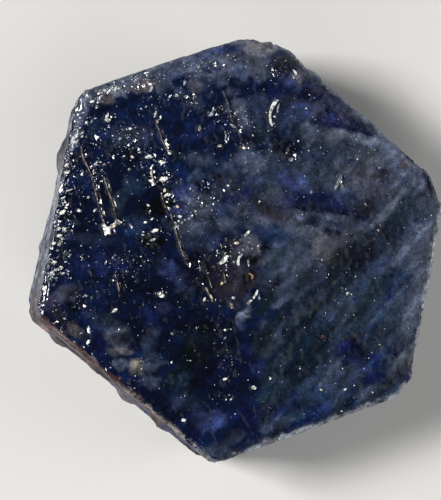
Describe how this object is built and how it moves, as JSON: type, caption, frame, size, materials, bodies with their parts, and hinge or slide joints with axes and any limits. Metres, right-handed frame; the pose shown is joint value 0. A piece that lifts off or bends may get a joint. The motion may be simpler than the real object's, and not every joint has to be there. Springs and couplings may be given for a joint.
{
  "type": "rough sapphire",
  "caption": "Tabular hexagonal corundum crystal with banded, ledged sides and a broad front face marked by cracks, breaks, low terraces and three-cornered etch pits.",
  "frame": {"origin": "under the middle of the crystal's bounding box, in the plane of the flat back face that it rests on", "axes": "+Z along the crystal's c-axis, out of the broad front face; +X out through a corner of the hexagon, its longer way; +Y out through a prism face"},
  "size_m": [0.039, 0.0364, 0.012],
  "materials": {
    "sapphire": "vitreous, pitted, cloudy dark blue with grey bands"
  },
  "bodies": {
    "root": {"sapphire_crystal": "sapphire"}
  },
  "joints": []
}
